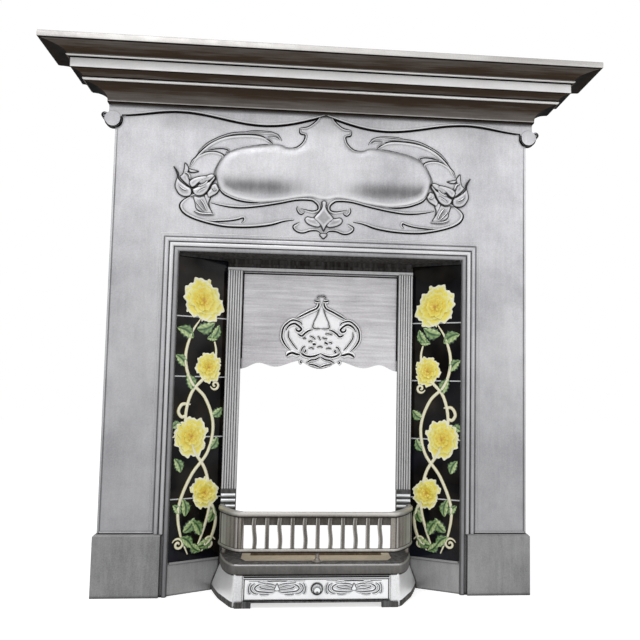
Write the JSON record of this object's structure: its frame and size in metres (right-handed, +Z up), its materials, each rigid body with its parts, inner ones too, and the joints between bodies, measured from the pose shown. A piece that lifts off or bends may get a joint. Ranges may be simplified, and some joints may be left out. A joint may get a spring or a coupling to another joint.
{
  "type": "tiled cast iron fireplace",
  "caption": "Tiled cast iron fireplace: moulded mantel surround, splayed tile panels, hooded register insert, barred fire front, ash pit with loose cover and hinged damper.",
  "frame": {"origin": "centre of the object's box on the floor, below the middle of its width and depth", "axes": "+X to the viewer's right when facing the fireplace, +Y back into the wall, +Z up"},
  "size_m": [1.384, 0.351, 1.35],
  "materials": {
    "burnished_iron": "cast, burnished and blackleaded to a soft grey shine, darker in the recesses",
    "bright_iron": "cast and polished bright, with dark lines in the recesses",
    "fire_iron": "cast, brown-grey, blackleaded",
    "dark_iron": "rough as cast, dark, unpolished",
    "tan_iron": "cast, dull, with a film of light rust",
    "plain_steel": "plain, oiled",
    "tile_glaze": "black glossy glaze over a pressed clay body, with yellow, cream and green slip trailing"
  },
  "bodies": {
    "root": {"surround": "burnished_iron", "left_plinth": "burnished_iron", "right_plinth": "burnished_iron", "plinth_bolts": "plain_steel", "mantel_shelf": "burnished_iron", "shelf_bolts": "plain_steel", "shelf_nuts": "plain_steel", "left_tile_frame": "dark_iron", "right_tile_frame": "dark_iron", "tile_frame_bolts": "plain_steel", "left_tile_1": "tile_glaze", "left_tile_2": "tile_glaze", "left_tile_3": "tile_glaze", "left_tile_4": "tile_glaze", "left_tile_5": "tile_glaze", "right_tile_1": "tile_glaze", "right_tile_2": "tile_glaze", "right_tile_3": "tile_glaze", "right_tile_4": "tile_glaze", "right_tile_5": "tile_glaze", "insert_frame": "burnished_iron", "hood": "burnished_iron", "hood_bolts": "plain_steel", "throat_plate": "dark_iron", "damper_pin": "plain_steel", "ash_pit_front": "bright_iron", "pit_bolts": "plain_steel", "pit_nuts": "plain_steel"},
    "ash_cover": {"ash_cover": "bright_iron", "cover_knob": "bright_iron", "knob_nut": "plain_steel"},
    "fire_front": {"fire_front": "fire_iron"},
    "bottom_grate": {"bottom_grate": "tan_iron"},
    "damper_flap": {"damper_flap": "dark_iron"}
  },
  "joints": [
    {"name": "cover_slide", "type": "slide", "parent": "root", "child": "ash_cover", "axis": [0, -1, 0], "range_m": [0, 0.12]},
    {"name": "front_lift", "type": "slide", "parent": "root", "child": "fire_front", "axis": [0, 0, 1], "range_m": [0, 0.06]},
    {"name": "grate_lift", "type": "slide", "parent": "root", "child": "bottom_grate", "axis": [0, 0, 1], "range_m": [0, 0.045]},
    {"name": "damper_hinge", "type": "hinge", "parent": "root", "child": "damper_flap", "pos_m": [0, 0.1655, 0.655], "axis": [-1, 0, 0], "range_deg": [0, 75]}
  ]
}
